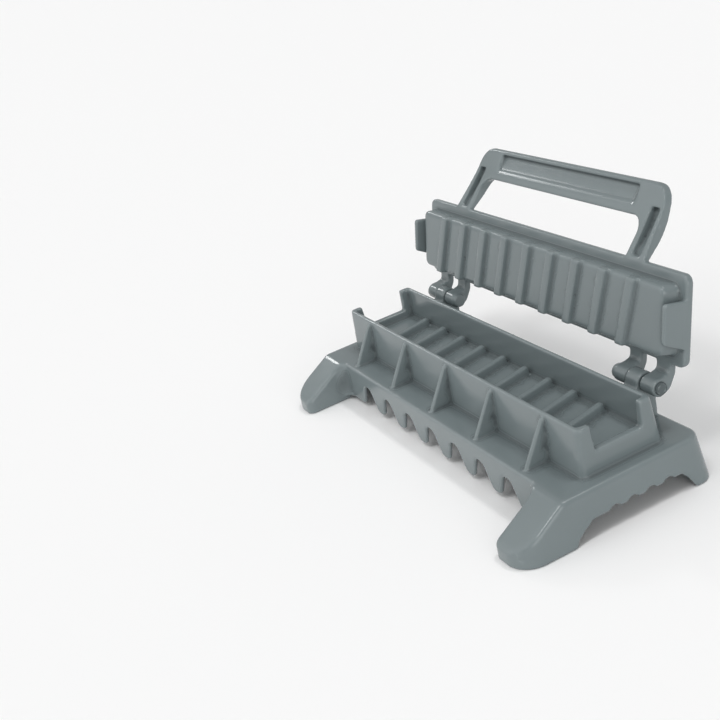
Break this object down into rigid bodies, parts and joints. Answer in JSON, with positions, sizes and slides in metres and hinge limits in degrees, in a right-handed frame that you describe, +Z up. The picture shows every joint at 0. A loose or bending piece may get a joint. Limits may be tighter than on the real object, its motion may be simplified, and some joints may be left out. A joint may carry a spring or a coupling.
{
  "type": "hinged kebab press mould",
  "caption": "Hand press mould with a ribbed trough on a raised stand and a hinged lid with a plug and a loop handle, for forming minced meat round a skewer.",
  "frame": {"origin": "on the floor, under the middle of the open mould's bounding box", "axes": "+X along the trough, +Y towards the hinge side, +Z up; a user faces +Y"},
  "size_m": [0.2966, 0.1658, 0.1429],
  "materials": {
    "base_plastic": "satin moulded polypropylene, mid grey with a slight blue-green tint",
    "lid_plastic": "satin moulded polypropylene, mid grey with a slight blue-green tint",
    "pin_plastic": "smooth moulded plastic, mid grey"
  },
  "bodies": {
    "base": {"trough": "base_plastic", "deck": "base_plastic", "front_skirt": "base_plastic", "rear_skirt": "base_plastic", "left_end_skirt": "base_plastic", "right_end_skirt": "base_plastic", "left_front_leg": "base_plastic", "right_front_leg": "base_plastic", "left_rear_leg": "base_plastic", "right_rear_leg": "base_plastic", "front_gusset_1": "base_plastic", "front_gusset_2": "base_plastic", "front_gusset_3": "base_plastic", "front_gusset_4": "base_plastic", "front_gusset_5": "base_plastic", "rear_gusset_1": "base_plastic", "rear_gusset_2": "base_plastic", "rear_gusset_3": "base_plastic", "left_hinge_knuckle": "base_plastic", "right_hinge_knuckle": "base_plastic"},
    "lid": {"press_plate": "lid_plastic", "press_plug": "lid_plastic", "left_end_tab": "lid_plastic", "right_end_tab": "lid_plastic", "handle_grip": "lid_plastic", "left_handle_arm": "lid_plastic", "right_handle_arm": "lid_plastic", "left_inner_hinge_arm": "lid_plastic", "left_outer_hinge_arm": "lid_plastic", "right_inner_hinge_arm": "lid_plastic", "right_outer_hinge_arm": "lid_plastic", "left_hinge_pin": "pin_plastic", "right_hinge_pin": "pin_plastic"}
  },
  "joints": [
    {"name": "lid_hinge", "type": "hinge", "parent": "base", "child": "lid", "pos_m": [0, 0.0315, 0.05], "axis": [1, 0, 0], "range_deg": [0, 102.75]}
  ]
}
